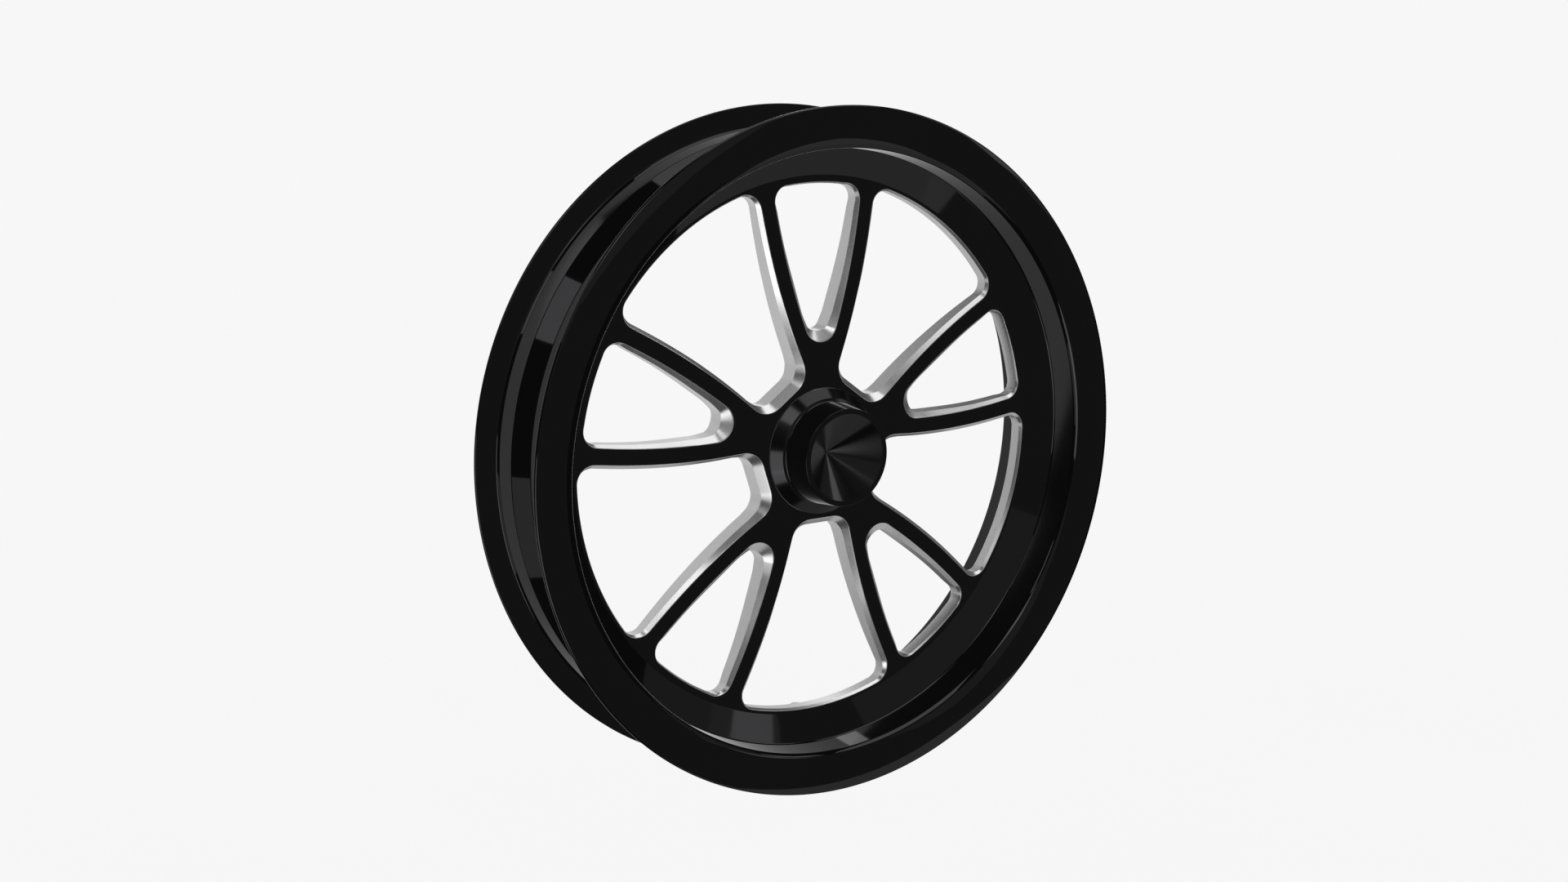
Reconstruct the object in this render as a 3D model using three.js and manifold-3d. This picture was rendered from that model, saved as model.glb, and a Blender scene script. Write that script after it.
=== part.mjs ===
// Racing front wheel, 17 inch, on its spindle bearings. Millimetres, +Z up.
// The wheel's axis is Y. The street side faces -Y and the origin is the wheel's centre.

import * as THREE from "three";
import { mergeVertices } from "three/addons/utils/BufferGeometryUtils.js";
import Module from "manifold-3d";

const wasm = await Module();
wasm.setup();

// ---------------------------------------------------------------- dimensions

const RAD = Math.PI / 180;
const BIG_STEPS = 60;     // facets round the rim and the centre
const HUB_STEPS = 32;     // facets round the hub, cap and races
const RING_STEPS = 24;    // facets round cages, seals and spacers
const SMALL_STEPS = 12;   // facets round screws and valve pieces
const FIT_GAP = 0.3;      // space left between pieces that touch

const rim = {
  halfWidth: 45.5,
  flangeRadius: 233.3,
  flangeInnerY: 41.2,
  flangeEdgeY: 45.5,
  beadRadius: 217.4,
  beadEndY: 23.8,
  dropRadius: 209.0,
  dropEndY: 11.0,
  boreRadius: 205.5,
};

const centre = {
  outerRadius: rim.boreRadius - FIT_GAP,
  ringFrontY: -17.4,
  ringBackY: 11.0,
  faceRadius: 186.9,
  backRadius: 190.0,
  seatRadius: 45.0,
  seatFrontY: -12.0,
  seatBackY: 8.3,
  boreRadius: 27.0,
};
const faceY = (r) => -9.4 + 0.046 * (r - 100);
const backY = (r) => 7.4 - 0.02 * (r - 90);

const screws = { count: 5, circleRadius: 37.5, shankRadius: 3.0, headRadius: 5.0,
                 headHeight: 6.0, tipY: -3.0, socketRadius: 2.9, socketDepth: 3.2 };

const hub = { spigotRadius: 26.7, spigotFrontY: -1.0, flangeRadius: 44.5, flangeFrontY: 8.6,
              flangeBackY: 13.6, barrelRadius: 30.0, backY: 45.5, webRadius: 18.6 };

// Tapered roller bearing, 19.05 x 45.24 x 15.5 mm. Its races and rollers share one apex on the axis.
const bearing = { boreRadius: 9.525, cupRadius: 22.62, width: 15.494, coneWidth: 16.637,
                  cupWidth: 12.065, pitchRadius: 16.3, tilt: 12.25, rollerTaper: 2.09,
                  rollerLength: 9.0, rollerCount: 12, rollerGap: 0.15, cageThickness: 1.2 };
const OUTER_BEARING_Y = 3.4;    // thrust face of the outer bearing's cone, it faces the street
const INNER_BEARING_Y = 40.5;   // thrust face of the inner bearing's cone, it faces the car

const cap = { baseRadius: 43.5, baseBackY: centre.seatFrontY - FIT_GAP, bodyRadius: 33.3,
              bodyFrontY: -41.4, rimRadius: 29.7, apexY: -16.5, skirtRadius: 26.6,
              skirtInnerRadius: 24.2, skirtBackY: -3.5, grooveY: -8.0, grooveRadius: 25.2 };

const valve = { y: 20.0, stemRadius: 4.0, spotFaceRadius: 8.4, outerSeat: 210.0, innerSeat: 206.0 };

// ---------------------------------------------------------------- helpers

const group = new THREE.Group();
group.name = "racing_wheel";

const finish = {
  glossBlack: { color: 0x0b0b0c, roughness: 0.18, metalness: 0.35 },
  bareAlloy: { color: 0xb9bbbd, roughness: 0.38, metalness: 1.0 },
  bearingSteel: { color: 0x9c9ea2, roughness: 0.22, metalness: 1.0 },
  cageSteel: { color: 0x77797c, roughness: 0.45, metalness: 1.0 },
  darkSteel: { color: 0x2b2c2e, roughness: 0.5, metalness: 0.9 },
  zincSteel: { color: 0xa5a79f, roughness: 0.42, metalness: 1.0 },
  rubber: { color: 0x121212, roughness: 0.85, metalness: 0.0 },
  brass: { color: 0xb08d4a, roughness: 0.35, metalness: 1.0 },
};

function addPiece(name, geometry, look) {
  const mesh = new THREE.Mesh(geometry, new THREE.MeshStandardMaterial(look));
  mesh.name = name;
  group.add(mesh);
  return mesh;
}

function signedArea(points) {
  let sum = 0;
  points.forEach(([x, y], i) => {
    const [nextX, nextY] = points[(i + 1) % points.length];
    sum += x * nextY - nextX * y;
  });
  return sum / 2;
}

// Turns a closed section of [radius, y] points about the Y axis.
function turned(section, steps) {
  const ordered = signedArea(section) > 0 ? section : [...section].reverse();
  const start = ordered.findIndex(([r], i) => r === 0 && ordered.at(i - 1)[0] === 0);
  const path = start < 0 ? [...ordered, ordered[0]] : [...ordered.slice(start), ...ordered.slice(0, start)];
  return new THREE.LatheGeometry(path.map(([r, y]) => new THREE.Vector2(r, y)), steps);
}

function toSolid(geometry) {
  const bare = geometry.clone();
  bare.deleteAttribute("normal");
  bare.deleteAttribute("uv");
  const joined = mergeVertices(bare, 1e-4);
  const corners = [];
  const index = joined.index.array;
  for (let i = 0; i < index.length; i += 3) {
    const [a, b, c] = [index[i], index[i + 1], index[i + 2]];
    if (a !== b && b !== c && c !== a) corners.push(a, b, c);
  }
  return new wasm.Manifold(new wasm.Mesh({
    numProp: 3,
    vertProperties: new Float32Array(joined.attributes.position.array),
    triVerts: new Uint32Array(corners),
  }));
}

function toGeometry(solid) {
  const mesh = solid.getMesh();
  const geometry = new THREE.BufferGeometry();
  geometry.setAttribute("position", new THREE.BufferAttribute(mesh.vertProperties, 3));
  geometry.setIndex(new THREE.BufferAttribute(mesh.triVerts, 1));
  geometry.computeVertexNormals();
  return geometry;
}

function cutAll(geometry, cutters) {
  return toGeometry(cutters.reduce((solid, cutter) => solid.subtract(toSolid(cutter)), toSolid(geometry)));
}

// A plain rod along Y between two heights, moved to a point of the XZ plane.
function rodAlongY(radius, fromY, toY, x = 0, z = 0, steps = SMALL_STEPS) {
  const rod = new THREE.CylinderGeometry(radius, radius, Math.abs(toY - fromY), steps);
  return rod.translate(x, (fromY + toY) / 2, z);
}

function onCircle(radius, degrees) {
  return [radius * Math.cos(degrees * RAD), radius * Math.sin(degrees * RAD)];
}

// Turns a piece drawn for 0 degrees (along +X) to an angle round the wheel's axis.
function spunTo(geometry, degrees) {
  return geometry.clone().rotateY(-degrees * RAD);
}

// ---------------------------------------------------------------- rim

function rimSection() {
  const front = [
    [rim.boreRadius, -39.6],
    [206.2, -41.2],
    [208.8, -43.0],
    [212.5, -43.4],
    [219.0, -43.5],
    [225.0, -44.4],
    [230.5, -rim.flangeEdgeY],
    [rim.flangeRadius, -rim.flangeEdgeY],
    [rim.flangeRadius, -rim.flangeInnerY],
    [219.2, -rim.flangeInnerY],
    [rim.beadRadius, -39.4],
    [rim.beadRadius, -rim.beadEndY],
    [rim.dropRadius, -rim.dropEndY],
  ];
  const back = front.map(([r, y]) => [r, -y]).reverse();
  return [...front, ...back];
}

// The valve's hole and the flat seats round it, cut down the wheel's lowest radius.
function valveCutters() {
  const along = (radius, fromRadius, toRadius) => {
    const rod = new THREE.CylinderGeometry(radius, radius, toRadius - fromRadius, 24);
    return rod.rotateX(Math.PI / 2).translate(0, valve.y, -(fromRadius + toRadius) / 2);
  };
  return [
    along(valve.stemRadius + 1.6, 195, 225),
    along(valve.spotFaceRadius, valve.outerSeat, 225),
    along(valve.spotFaceRadius, 195, valve.innerSeat),
  ];
}

function makeRim() {
  addPiece("rim_hoop", cutAll(turned(rimSection(), BIG_STEPS), valveCutters()), finish.glossBlack);
}

// ---------------------------------------------------------------- centre and its windows

function arc(centreS, centreH, radius, fromDegrees, toDegrees, steps) {
  return Array.from({ length: steps + 1 }, (_, i) => {
    const [s, h] = onCircle(radius, fromDegrees + ((toDegrees - fromDegrees) * i) / steps);
    return [centreS + s, centreH + h];
  });
}

function sideLine(fromS, toS, steps, heightAt) {
  return Array.from({ length: steps - 1 }, (_, i) => {
    const s = fromS + ((toS - fromS) * (i + 1)) / steps;
    return [s, heightAt(s)];
  });
}

function mirrored(half) {
  return [...half, ...half.slice(1, -1).reverse().map(([s, h]) => [s, -h])];
}

// Window outlines on the spoke face: s runs outwards along the window's middle, h across it.
function smallWindow() {
  const side = (s) => 16.13 + 0.3312 * (s - 95) - 0.00115 * (s - 95) ** 2;
  return mirrored([
    ...arc(87.9, 0, 12.9, 180, 109.6, 4),
    ...sideLine(83.6, 167.8, 5, side),
    ...arc(169.6, 23.3, 11, 99.5, 7.8, 4),
    ...arc(0, 0, 182.1, 5.2, 0, 2),
  ]);
}

function largeWindow() {
  const side = (s) => 24.75 + 0.2427 * (s - 62) + 0.001264 * (s - 62) ** 2;
  return mirrored([
    [47.3, 0],
    ...arc(62.3, 9.3, 15, 180, 103.4, 4),
    ...sideLine(58.8, 160.3, 6, side),
    ...arc(165.5, 50.0, 11.9, 116.0, 16.8, 5),
    ...arc(0, 0, 184.8, 12.6, 0, 4),
  ]);
}

// Width of the bright chamfer round a window, by distance from the wheel's centre: [s, width].
const smallChamfer = [[75, 7.0], [88, 3.25], [105, 3.25], [140, 2.4], [163, 2.2], [178, 0.9], [190, 0.9]];
const largeChamfer = [[47, 4.5], [60, 2.5], [160, 2.5], [175, 1.0], [190, 1.0]];

function between(table, at) {
  const next = table.findIndex(([s]) => s >= at);
  if (next <= 0) return table[0][1];
  const [[s0, v0], [s1, v1]] = [table[next - 1], table[next]];
  return v0 + ((v1 - v0) * (at - s0)) / (s1 - s0);
}

const chamferY = (r) => -5.5 + (2.5 * Math.min(Math.max(r - 120, 0), 62)) / 62;

function movedIn(outline, widthAt) {
  const turn = Math.sign(signedArea(outline));
  return outline.map(([s, h], i) => {
    const [s0, h0] = outline.at(i - 1);
    const [s1, h1] = outline[(i + 1) % outline.length];
    const length = Math.hypot(s1 - s0, h1 - h0);
    const width = widthAt(s) * turn;
    return [s - (width * (h1 - h0)) / length, h + (width * (s1 - s0)) / length];
  });
}

// A closed solid through rings of [s, h, y] points, one ring behind the other.
function ringsToGeometry(rings) {
  const count = rings[0].length;
  const positions = rings.flat().flatMap(([s, h, y]) => [s, y, h]);
  const flat = (ring) => ring.map(([s, h]) => new THREE.Vector2(s, h));
  const lid = THREE.ShapeUtils.triangulateShape(flat(rings[0]), []);
  const lastLid = THREE.ShapeUtils.triangulateShape(flat(rings.at(-1)), []);
  const faces = lid.map(([a, b, c]) => [c, b, a]);
  const offset = (rings.length - 1) * count;
  lastLid.forEach(([a, b, c]) => faces.push([offset + a, offset + b, offset + c]));
  for (let level = 0; level + 1 < rings.length; level += 1) {
    for (let i = 0; i < count; i += 1) {
      const j = (i + 1) % count;
      const [a, b] = [level * count + i, level * count + j];
      faces.push([a, b, a + count], [a + count, b, b + count]);
    }
  }
  const geometry = new THREE.BufferGeometry();
  geometry.setAttribute("position", new THREE.Float32BufferAttribute(positions, 3));
  geometry.setIndex(faces.flat());
  return geometry;
}

function windowCutter(outline, chamfer) {
  const edge = signedArea(outline) > 0 ? outline : [...outline].reverse();
  const wall = movedIn(edge, (s) => -between(chamfer, s)).map(([s, h], i) => {
    const [s0, h0] = edge[i];
    return [2 * s0 - s, 2 * h0 - h];
  });
  const radius = ([s, h]) => Math.hypot(s, h);
  const rings = [
    wall.map(([s, h]) => [s, h, 20]),
    wall.map(([s, h]) => [s, h, chamferY(radius([s, h]))]),
    edge.map(([s, h]) => [s, h, faceY(radius([s, h]))]),
    edge.map(([s, h], i) => {
      const [s0, h0] = wall[i];
      return [s + 0.4 * (s - s0), h + 0.4 * (h - h0), faceY(radius([s, h])) - 2.2];
    }),
  ];
  return ringsToGeometry(rings);
}

function windowCutters() {
  const large = windowCutter(largeWindow(), largeChamfer);
  const small = windowCutter(smallWindow(), smallChamfer);
  return [0, 1, 2, 3, 4].flatMap((i) => [spunTo(small, 90 + 72 * i), spunTo(large, 54 + 72 * i)]);
}

function screwAngles() {
  return Array.from({ length: screws.count }, (_, i) => 90 + (360 / screws.count) * i);
}

function screwHoles(fromY, toY) {
  return screwAngles().map((degrees) => {
    const [x, z] = onCircle(screws.circleRadius, degrees);
    return rodAlongY(screws.shankRadius + FIT_GAP, fromY, toY, x, z);
  });
}

function makeCentre() {
  const section = [
    [centre.boreRadius, centre.seatBackY],
    [centre.boreRadius, centre.seatFrontY],
    [centre.seatRadius, centre.seatFrontY],
    [centre.faceRadius, faceY(centre.faceRadius)],
    [centre.outerRadius, centre.ringFrontY],
    [centre.outerRadius, centre.ringBackY],
    [centre.backRadius, backY(centre.backRadius)],
    [centre.seatRadius, centre.seatBackY],
  ];
  const cutters = [...windowCutters(), ...screwHoles(screws.tipY - 1.0, 20)];
  addPiece("wheel_centre", cutAll(turned(section, BIG_STEPS), cutters), finish.glossBlack);
}

// ---------------------------------------------------------------- hub

function makeHub() {
  const cupSeat = bearing.cupRadius + FIT_GAP;
  const frontShoulder = OUTER_BEARING_Y + bearing.width + FIT_GAP;
  const backShoulder = INNER_BEARING_Y - bearing.width - FIT_GAP;
  const section = [
    [cupSeat, hub.spigotFrontY],
    [hub.spigotRadius, hub.spigotFrontY],
    [hub.spigotRadius, hub.flangeFrontY],
    [hub.flangeRadius, hub.flangeFrontY],
    [hub.flangeRadius, hub.flangeBackY],
    [hub.barrelRadius + 1.5, hub.flangeBackY],
    [hub.barrelRadius, hub.flangeBackY + 3],
    [hub.barrelRadius, hub.backY],
    [cupSeat, hub.backY],
    [cupSeat, backShoulder],
    [hub.webRadius, backShoulder],
    [hub.webRadius, frontShoulder],
    [cupSeat, frontShoulder],
  ];
  const holes = screwHoles(hub.flangeFrontY - 2, hub.flangeBackY + 6);
  addPiece("hub_barrel", cutAll(turned(section, HUB_STEPS), holes), finish.glossBlack);
}

function screwGeometry() {
  const seatY = hub.flangeBackY + FIT_GAP;
  const topY = seatY + screws.headHeight;
  const section = [
    [0, screws.tipY],
    [screws.shankRadius - 0.6, screws.tipY],
    [screws.shankRadius, screws.tipY + 0.6],
    [screws.shankRadius, seatY],
    [screws.headRadius, seatY],
    [screws.headRadius, topY - 0.5],
    [screws.headRadius - 0.5, topY],
    [0, topY],
  ];
  const socket = rodAlongY(screws.socketRadius, topY - screws.socketDepth, topY + 2, 0, 0, 6);
  return cutAll(turned(section, SMALL_STEPS), [socket]);
}

function makeScrews() {
  const screw = screwGeometry();
  screwAngles().forEach((degrees, i) => {
    const [x, z] = onCircle(screws.circleRadius, degrees);
    addPiece(`hub_screw_${i + 1}`, screw, finish.darkSteel).position.set(x, 0, z);
  });
}

// ---------------------------------------------------------------- bearings

// The bearings are drawn with the thrust face at y = 0 and the apex on the +Y side.
const midY = bearing.width - bearing.cupWidth / 2;
const apexY = midY + bearing.pitchRadius / Math.tan(bearing.tilt * RAD);
const raceRadius = (y, tilt) => (apexY - y) * Math.tan(tilt * RAD);

function cupSection() {
  const frontY = bearing.width - bearing.cupWidth;
  const race = (y) => raceRadius(y, bearing.tilt + bearing.rollerTaper) + bearing.rollerGap;
  return [
    [race(frontY), frontY],
    [bearing.cupRadius, frontY],
    [bearing.cupRadius, bearing.width - 1.2],
    [bearing.cupRadius - 1.2, bearing.width],
    [race(bearing.width), bearing.width],
  ];
}

function coneSection() {
  const race = (y) => raceRadius(y, bearing.tilt - bearing.rollerTaper) - bearing.rollerGap;
  return [
    [bearing.boreRadius + 0.1, 0],
    [15.4, 0],
    [16.2, 0.8],
    [16.2, 3.8],
    [race(3.8), 3.8],
    [race(13.8), 13.8],
    [13.5, 13.8],
    [13.5, bearing.coneWidth],
    [bearing.boreRadius + 0.1, bearing.coneWidth],
  ];
}

function cageSection() {
  const half = bearing.cageThickness / 2;
  const pitch = (y) => raceRadius(y, bearing.tilt);
  const [frontY, backEndY] = [2.2, 15.6];
  return [
    [pitch(frontY) - half, frontY],
    [pitch(frontY) + half, frontY],
    [pitch(backEndY) + half, backEndY],
    [pitch(backEndY) - half, backEndY],
  ];
}

// Puts a shape drawn along Y round its own middle on the pitch cone, at an angle round the axis.
function onPitchCone(geometry, degrees) {
  const leaned = geometry.clone().rotateZ(bearing.tilt * RAD).translate(bearing.pitchRadius, midY, 0);
  return spunTo(leaned, degrees);
}

function rollerAngles() {
  return Array.from({ length: bearing.rollerCount }, (_, i) => ((i + 0.5) * 360) / bearing.rollerCount);
}

function rollerRadius(towardsApex) {
  const slant = bearing.pitchRadius / Math.sin(bearing.tilt * RAD);
  return (slant - towardsApex) * Math.tan(bearing.rollerTaper * RAD) - bearing.rollerGap;
}

function rollerGeometry() {
  const half = bearing.rollerLength / 2;
  return new THREE.CylinderGeometry(rollerRadius(half), rollerRadius(-half), bearing.rollerLength, 10);
}

function cageGeometry() {
  const half = bearing.rollerLength / 2 + FIT_GAP;
  const pocket = new THREE.CylinderGeometry(
    (rollerRadius(half) + 0.35) * Math.SQRT2, (rollerRadius(-half) + 0.35) * Math.SQRT2, 2 * half, 4, 1);
  pocket.rotateY(Math.PI / 4);
  return cutAll(turned(cageSection(), RING_STEPS), rollerAngles().map((angle) => onPitchCone(pocket, angle)));
}

function makeBearing(name, thrustY, facesCar) {
  const place = (mesh) => {
    if (facesCar) mesh.rotation.x = Math.PI;
    mesh.position.y = thrustY;
  };
  place(addPiece(`${name}_bearing_cup`, turned(cupSection(), HUB_STEPS), finish.bearingSteel));
  place(addPiece(`${name}_bearing_cone`, turned(coneSection(), HUB_STEPS), finish.bearingSteel));
  place(addPiece(`${name}_bearing_cage`, cageGeometry(), finish.cageSteel));
  const roller = rollerGeometry();
  rollerAngles().forEach((angle, i) => {
    place(addPiece(`${name}_roller_${i + 1}`, onPitchCone(roller, angle), finish.bearingSteel));
  });
}

function makeSpacer() {
  const frontY = OUTER_BEARING_Y + bearing.coneWidth + FIT_GAP;
  const backEndY = INNER_BEARING_Y - bearing.coneWidth - FIT_GAP;
  const section = [[9.8, frontY], [13.0, frontY], [13.0, backEndY], [9.8, backEndY]];
  addPiece("bearing_spacer", turned(section, RING_STEPS), finish.zincSteel);
}

function makeSeal() {
  const caseRadius = bearing.cupRadius;
  const caseSection = [
    [18.7, 44.4], [caseRadius - 0.9, 44.4], [caseRadius - 0.9, 41.2], [caseRadius, 41.2],
    [caseRadius, 44.7], [caseRadius - 0.5, 45.2], [18.7, 45.2],
  ];
  const lipSection = [
    [18.4, 41.8], [18.4, 45.2], [16.9, 45.2], [15.9, 44.3], [15.9, 43.7],
    [16.2, 41.8], [16.7, 41.8], [16.7, 44.0], [17.9, 44.0], [17.9, 41.8],
  ];
  addPiece("grease_seal_case", turned(caseSection, RING_STEPS), finish.zincSteel);
  addPiece("grease_seal_lip", turned(lipSection, RING_STEPS), finish.rubber);
  const spring = new THREE.TorusGeometry(17.3, 0.42, 5, RING_STEPS).rotateX(Math.PI / 2);
  addPiece("grease_seal_spring", spring, finish.bearingSteel).position.y = 42.9;
}

// ---------------------------------------------------------------- nut, washer and pin

function makeThrustWasher() {
  const key = 20;
  const outline = new THREE.Shape().absarc(0, 0, 16.4, 0, 2 * Math.PI);
  const hole = new THREE.Path().absarc(0, 0, 9.8, (90 + key) * RAD, (450 - key) * RAD);
  const [keyX, keyY] = onCircle(9.8, 90 - key);
  hole.lineTo(keyX, keyY - 1.6);
  hole.lineTo(-keyX, keyY - 1.6);
  hole.closePath();
  outline.holes.push(hole);
  const washer = new THREE.ExtrudeGeometry(outline, { depth: 2.2, bevelEnabled: false, curveSegments: RING_STEPS });
  washer.rotateX(Math.PI / 2);
  addPiece("thrust_washer", washer, finish.zincSteel).position.y = OUTER_BEARING_Y - FIT_GAP;
}

const nut = { frontY: -11.4, backY: 0.6, cornerRadius: 16.0, boreRadius: 9.7, slotWidth: 3.6, slotFloorY: -6.6 };

function makeSpindleNut() {
  const hexagon = rodAlongY(nut.cornerRadius, nut.frontY, nut.backY, 0, 0, 6);
  const turnedLimit = [[0, nut.backY], [0, nut.frontY], [13.2, nut.frontY], [13.2, nut.slotFloorY + 0.4],
                       [16.2, nut.slotFloorY + 2.2], [16.2, nut.backY - 1.0], [14.6, nut.backY]];
  const bore = rodAlongY(nut.boreRadius, nut.frontY - 1, nut.backY + 1, 0, 0, RING_STEPS);
  const slots = [0, 60, 120].map((degrees) => {
    const slot = new THREE.BoxGeometry(40, nut.slotFloorY - nut.frontY + 2, nut.slotWidth);
    return spunTo(slot.translate(0, (nut.slotFloorY + nut.frontY - 2) / 2, 0), degrees);
  });
  const body = toGeometry(toSolid(hexagon).intersect(toSolid(turned(turnedLimit, RING_STEPS))));
  addPiece("spindle_nut", cutAll(body, [bore, ...slots]), finish.zincSteel);
}

// Split pin: an eye, a straight shank through the slots, and an end bent back along the nut.
function makeCotterPin() {
  const wire = 1.15;
  const shankY = -9.0;
  const eye = 2.6;
  const path = new THREE.CurvePath();
  const round = Array.from({ length: 9 }, (_, i) => {
    const [x, z] = onCircle(eye, 60 + (310 * i) / 10);
    return new THREE.Vector3(-18.6 + x, shankY, z);
  });
  const stops = [...round, new THREE.Vector3(-14.6, shankY, 0), new THREE.Vector3(0, shankY, 0),
                 new THREE.Vector3(13.6, shankY, 0), new THREE.Vector3(15.6, shankY + 0.9, 0),
                 new THREE.Vector3(16.2, shankY + 3.0, 0), new THREE.Vector3(16.2, shankY + 8.0, 0)];
  path.add(new THREE.CatmullRomCurve3(stops));
  const section = new THREE.Shape().absarc(0, 0, wire, 0, 2 * Math.PI);
  const pin = new THREE.ExtrudeGeometry(section, { steps: 28, extrudePath: path, curveSegments: 3 });
  addPiece("cotter_pin", pin, finish.zincSteel);
}

// ---------------------------------------------------------------- dust cap

function makeCap() {
  const section = [
    [0, cap.apexY],
    [cap.rimRadius, cap.bodyFrontY],
    [cap.bodyRadius - 0.2, cap.bodyFrontY],
    [cap.bodyRadius, cap.bodyFrontY + 0.3],
    [cap.bodyRadius, -21.0],
    [34.4, -19.9],
    [37.2, -19.7],
    [cap.baseRadius, -13.0],
    [cap.baseRadius, cap.baseBackY],
    [cap.skirtRadius, cap.baseBackY],
    [cap.skirtRadius, cap.grooveY - 1.1],
    [cap.grooveRadius, cap.grooveY - 1.1],
    [cap.grooveRadius, cap.grooveY + 1.1],
    [cap.skirtRadius, cap.grooveY + 1.1],
    [cap.skirtRadius, cap.skirtBackY],
    [cap.skirtInnerRadius, cap.skirtBackY],
    [cap.skirtInnerRadius, -15.0],
    [30.6, -21.5],
    [30.6, -37.6],
    [28.6, -37.6],
    [0, cap.apexY + 3.2],
  ];
  addPiece("dust_cap", turned(section, HUB_STEPS), finish.glossBlack);
  const ring = new THREE.TorusGeometry(cap.grooveRadius + 0.85, 0.62, 5, HUB_STEPS).rotateX(Math.PI / 2);
  addPiece("cap_o_ring", ring, finish.rubber).position.y = cap.grooveY;
}

// ---------------------------------------------------------------- valve

// Valve pieces are drawn along Y from the rim's middle outwards, then pointed at the wheel's centre.
function addValvePiece(name, section, look) {
  const mesh = addPiece(name, turned(section, SMALL_STEPS), look);
  mesh.rotation.x = -Math.PI / 2;
  mesh.position.set(0, valve.y, 0);
}

function makeValve() {
  const stem = valve.stemRadius;
  const headSeat = valve.outerSeat + 2.1 + FIT_GAP;
  addValvePiece("valve_stem", [
    [1.9, 193.0], [2.6, 193.0], [stem - 0.1, 197.4], [stem - 0.1, headSeat], [6.4, headSeat],
    [6.4, headSeat + 1.9], [1.9, headSeat + 1.9],
  ], finish.bareAlloy);
  addValvePiece("valve_grommet", [
    [stem + 0.2, 207.4], [stem + 1.3, 207.4], [stem + 1.3, valve.outerSeat + FIT_GAP],
    [7.4, valve.outerSeat + FIT_GAP], [7.4, headSeat - FIT_GAP], [stem + 0.2, headSeat - FIT_GAP],
  ], finish.rubber);
  addValvePiece("valve_washer", [
    [stem + 0.3, 204.5], [7.2, 204.5], [7.2, valve.innerSeat - FIT_GAP], [stem + 0.3, valve.innerSeat - FIT_GAP],
  ], finish.bareAlloy);
  addValvePiece("valve_core", [
    [0, 193.6], [0.6, 193.6], [0.6, 196.5], [1.5, 197.2], [1.5, 205.0], [0.7, 206.5], [0, 206.5],
  ], finish.brass);
  addValvePiece("valve_cap", [
    [0, 190.0], [3.6, 190.0], [4.4, 190.6], [4.9, 198.6], [4.2, 198.6], [4.2, 197.0], [2.9, 192.3], [0, 192.3],
  ], finish.bareAlloy);
  makeValveNut();
}

function makeValveNut() {
  const hexagon = rodAlongY(7.0, 199.4, 204.2, 0, 0, 6);
  const bore = rodAlongY(valve.stemRadius + 0.2, 190, 210);
  const mesh = addPiece("valve_nut", cutAll(hexagon, [bore]), finish.bareAlloy);
  mesh.rotation.x = -Math.PI / 2;
  mesh.position.set(0, valve.y, 0);
}

// ---------------------------------------------------------------- assembly

makeRim();
makeCentre();
makeHub();
makeScrews();
makeCap();
makeSpindleNut();
makeCotterPin();
makeThrustWasher();
makeBearing("outer", OUTER_BEARING_Y, false);
makeSpacer();
makeBearing("inner", INNER_BEARING_Y, true);
makeSeal();
makeValve();

export default group;
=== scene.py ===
import math

import bmesh
import bpy
from mathutils import Matrix, Vector
from mathutils.kdtree import KDTree


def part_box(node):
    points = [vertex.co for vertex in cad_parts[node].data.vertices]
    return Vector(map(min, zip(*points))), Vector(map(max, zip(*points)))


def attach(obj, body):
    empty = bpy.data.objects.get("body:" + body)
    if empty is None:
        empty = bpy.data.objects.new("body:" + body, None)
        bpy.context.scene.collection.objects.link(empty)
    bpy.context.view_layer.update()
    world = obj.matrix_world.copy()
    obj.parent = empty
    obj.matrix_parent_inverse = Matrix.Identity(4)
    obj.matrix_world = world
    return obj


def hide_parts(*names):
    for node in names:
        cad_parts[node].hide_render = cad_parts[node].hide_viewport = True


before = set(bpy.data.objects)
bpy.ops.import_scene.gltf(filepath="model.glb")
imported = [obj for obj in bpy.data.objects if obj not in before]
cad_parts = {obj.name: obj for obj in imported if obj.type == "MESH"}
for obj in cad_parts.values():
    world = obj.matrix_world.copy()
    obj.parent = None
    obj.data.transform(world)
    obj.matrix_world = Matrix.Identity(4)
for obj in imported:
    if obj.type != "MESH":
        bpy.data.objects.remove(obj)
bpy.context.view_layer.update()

# ---------------------------------------------------------------- sizes

MM = 0.001                   # drawings are in millimetres, Blender works in metres
FULL_TURN = 2 * math.pi

rim_low, rim_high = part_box("rim_hoop")
RIM_RADIUS = (rim_high[0] - rim_low[0]) / 2 / MM
RIM_HALF_WIDTH = (rim_high[1] - rim_low[1]) / 2 / MM

BORE_RADIUS = 205.5          # inside of the rim
BEAD_RADIUS = 217.4          # where the tyre sits
DROP_RADIUS = 209.0          # bottom of the channel between the bead seats
LIP_BACK_Y = -41.2           # the lip's flat side, against the tyre
FACE_CORNER_RADIUS = 186.9   # where the centre's front face turns down to the weld
CAP_RADIUS = 33.3
CAP_BASE_RADIUS = 43.5
SPOKES = 5
SCREW_CIRCLE_RADIUS = 37.5
SCREW_HOLE_RADIUS = 3.3
HOLE_END_Y = 20.0            # behind the hub's flange
VALVE_Y = 20.0
VALVE_HOLE_RADIUS = 5.6
VALVE_SEAT_RADIUS = 8.4
CAP_GRIPS = 18
BEARING_FACES = {"outer": 3.4, "inner": 40.5}   # y of each bearing's thrust face
FLOOR_RADIUS = 2.6           # the floor is in metres
FLOOR_FADE_RADIUS = 1.2
FLOOR_DROP = 0.30            # the wheel hangs on its spindle this far above the floor


def spoke_front(radius):
    """y of the centre's front face, a shallow cone."""
    return -9.4 + 0.046 * (radius - 100)


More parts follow.
